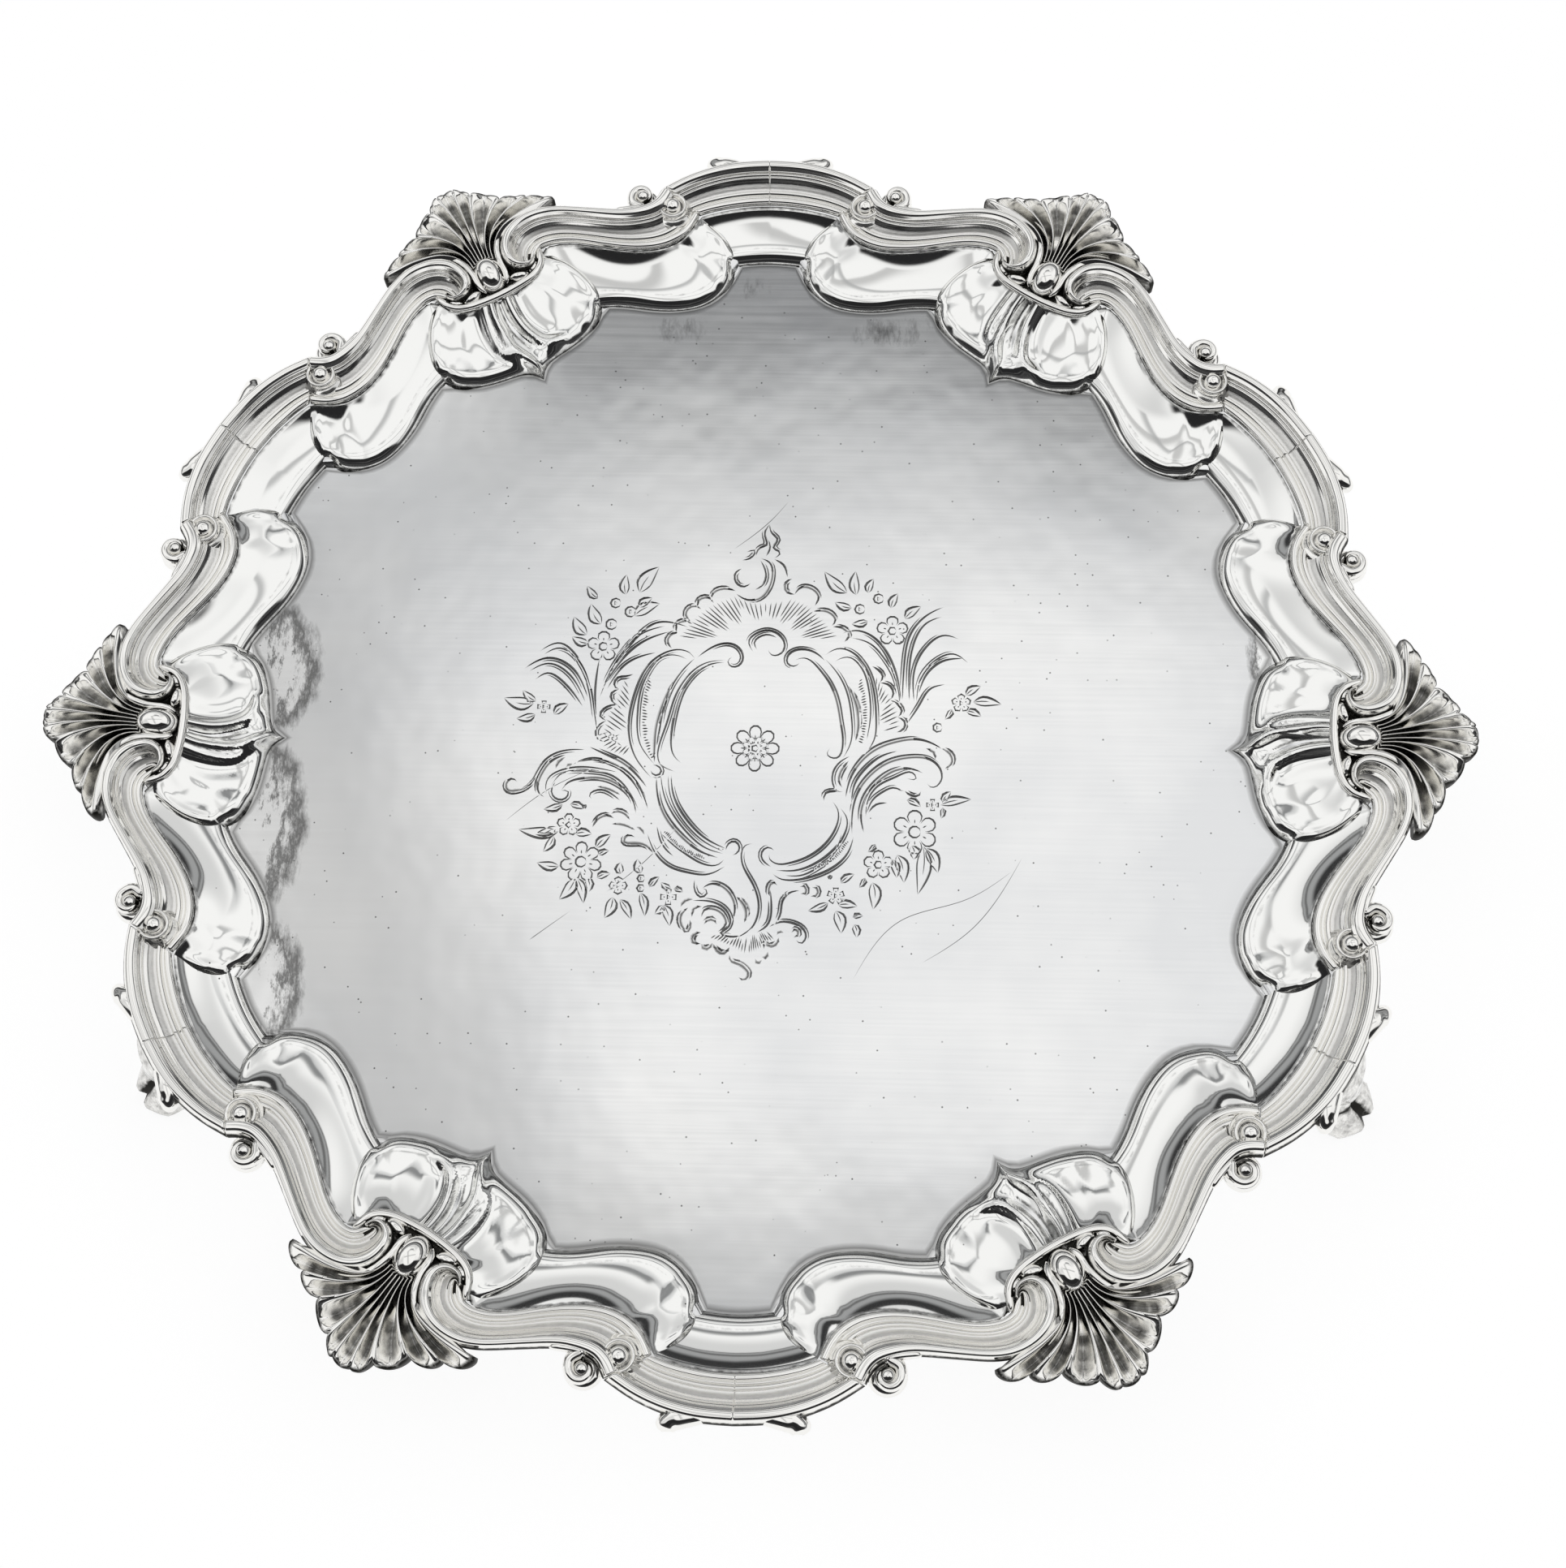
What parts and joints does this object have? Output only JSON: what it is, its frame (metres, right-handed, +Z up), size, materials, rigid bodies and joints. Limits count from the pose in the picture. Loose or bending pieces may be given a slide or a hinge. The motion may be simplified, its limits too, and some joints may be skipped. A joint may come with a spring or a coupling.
{
  "type": "footed salver",
  "caption": "Round footed silver salver with a raised border of cast S-scrolls, C-scrolls and fluted shells, hoof feet and an engraved flat field.",
  "frame": {"origin": "Centre of the flat field's top face", "axes": "+Z up out of the field; +X through the first shell; one foot on +Y and the other two at 120 degrees to it"},
  "size_m": [0.3054, 0.2965, 0.0328],
  "materials": {
    "sheet_silver": "hand polished and worn sheet silver, satin on the field and bright on the shoulder",
    "cast_silver": "cast and chased silver, bright on the high lines and matt in the hollows"
  },
  "bodies": {
    "root": {"c_scroll_1_left": "cast_silver", "c_scroll_1_right": "cast_silver", "c_scroll_2_left": "cast_silver", "c_scroll_2_right": "cast_silver", "c_scroll_3_left": "cast_silver", "c_scroll_3_right": "cast_silver", "c_scroll_4_left": "cast_silver", "c_scroll_4_right": "cast_silver", "c_scroll_5_left": "cast_silver", "c_scroll_5_right": "cast_silver", "c_scroll_6_left": "cast_silver", "c_scroll_6_right": "cast_silver", "foot_1": "cast_silver", "foot_2": "cast_silver", "foot_3": "cast_silver", "plate": "sheet_silver", "s_scroll_1_left": "cast_silver", "s_scroll_1_right": "cast_silver", "s_scroll_2_left": "cast_silver", "s_scroll_2_right": "cast_silver", "s_scroll_3_left": "cast_silver", "s_scroll_3_right": "cast_silver", "s_scroll_4_left": "cast_silver", "s_scroll_4_right": "cast_silver", "s_scroll_5_left": "cast_silver", "s_scroll_5_right": "cast_silver", "s_scroll_6_left": "cast_silver", "s_scroll_6_right": "cast_silver", "shell_1": "cast_silver", "shell_2": "cast_silver", "shell_3": "cast_silver", "shell_4": "cast_silver", "shell_5": "cast_silver", "shell_6": "cast_silver"}
  },
  "joints": []
}
